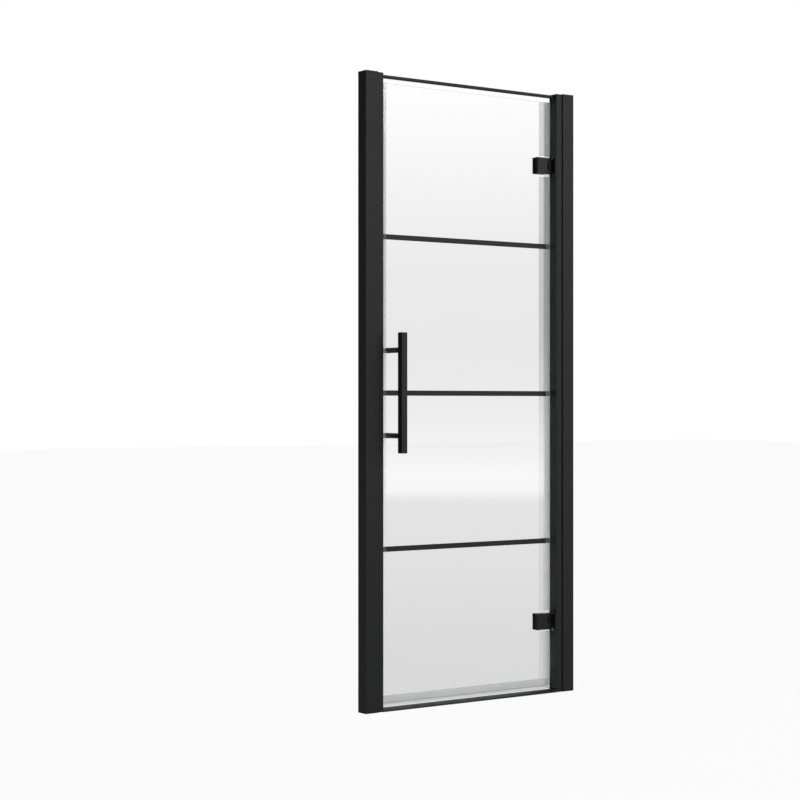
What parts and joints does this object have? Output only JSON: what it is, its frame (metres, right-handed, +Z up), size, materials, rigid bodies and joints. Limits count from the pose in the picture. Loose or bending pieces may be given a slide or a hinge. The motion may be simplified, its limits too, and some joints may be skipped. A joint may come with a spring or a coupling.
{
  "type": "pivot shower door",
  "caption": "Black-framed glass shower door that swings outwards on side hinges, with a bar handle, clear seals and wall channels that adjust to the recess.",
  "frame": {"origin": "underside of the threshold, half way between the two wall faces and half way through the posts' depth", "axes": "+X along the doorway from the strike side to the hinge side, +Y from the bathroom into the shower, +Z up"},
  "size_m": [0.779, 0.101, 1.85],
  "materials": {
    "black_aluminium": "matt black powder coat over extruded aluminium",
    "black_plastic": "matt black moulded plastic",
    "black_hinge": "matt black coated cast metal",
    "black_handle": "matt black coated aluminium",
    "black_bar": "matt black flat strip bonded to the glass",
    "screw_steel": "plain stainless steel",
    "magnet": "flexible rubber-bonded magnet",
    "black_seal": "black extruded plastic",
    "clear_seal": "clear flexible plastic",
    "clear_glass": "clear toughened glass",
    "nylon": "black nylon",
    "gasket": "black sheet gasket"
  },
  "bodies": {
    "left_channel": {"left_wall_channel": "black_aluminium", "left_channel_cap": "black_plastic"},
    "frame": {"left_jamb": "black_aluminium", "right_jamb": "black_aluminium", "left_jamb_cap": "black_plastic", "right_jamb_cap": "black_plastic", "left_adjuster_screws": "screw_steel", "right_adjuster_screws": "screw_steel", "left_adjuster_caps": "black_plastic", "right_adjuster_caps": "black_plastic", "header_rail": "black_aluminium", "header_screws": "screw_steel", "threshold_rail": "black_aluminium", "threshold_screws": "screw_steel", "jamb_magnet_holder": "black_seal", "jamb_magnet_strip": "magnet", "upper_hinge_jamb_plate": "black_hinge", "upper_hinge_plate_screws": "screw_steel", "upper_hinge_backing_plate": "screw_steel", "upper_hinge_bushes": "nylon", "lower_hinge_jamb_plate": "black_hinge", "lower_hinge_plate_screws": "screw_steel", "lower_hinge_backing_plate": "screw_steel", "lower_hinge_bushes": "nylon"},
    "door": {"door_glass": "clear_glass", "upper_bar": "black_bar", "middle_bar": "black_bar", "lower_bar": "black_bar", "strike_seal": "clear_seal", "strike_seal_magnet": "magnet", "hinge_seal_top": "clear_seal", "hinge_seal_middle": "clear_seal", "hinge_seal_bottom": "clear_seal", "bottom_seal": "clear_seal", "handle_bar": "black_handle", "handle_end_plugs": "black_plastic", "handle_standoffs": "black_handle", "handle_front_washers": "nylon", "handle_glass_sleeves": "nylon", "handle_studs": "screw_steel", "handle_inner_washers": "nylon", "handle_inner_caps": "black_handle", "upper_hinge_front_block": "black_hinge", "upper_hinge_front_gasket": "gasket", "upper_hinge_inner_gasket": "gasket", "upper_hinge_inner_plate": "black_hinge", "upper_hinge_clamp_screws": "screw_steel", "upper_hinge_glass_sleeves": "nylon", "upper_hinge_pin": "black_hinge", "lower_hinge_front_block": "black_hinge", "lower_hinge_front_gasket": "gasket", "lower_hinge_inner_gasket": "gasket", "lower_hinge_inner_plate": "black_hinge", "lower_hinge_clamp_screws": "screw_steel", "lower_hinge_glass_sleeves": "nylon", "lower_hinge_pin": "black_hinge"},
    "right_channel": {"right_wall_channel": "black_aluminium", "right_channel_cap": "black_plastic"}
  },
  "joints": [
    {"name": "frame_width_adjustment", "type": "slide", "parent": "left_channel", "child": "frame", "axis": [1, 0, 0], "range_m": [-0.01, 0.01]},
    {"name": "door_swing", "type": "hinge", "parent": "frame", "child": "door", "pos_m": [0.3107, 0.0036, 0.9225], "axis": [0, 0, 1], "range_deg": [0, 95]},
    {"name": "right_channel_width_adjustment", "type": "slide", "parent": "frame", "child": "right_channel", "axis": [1, 0, 0], "range_m": [-0.01, 0.01]}
  ]
}
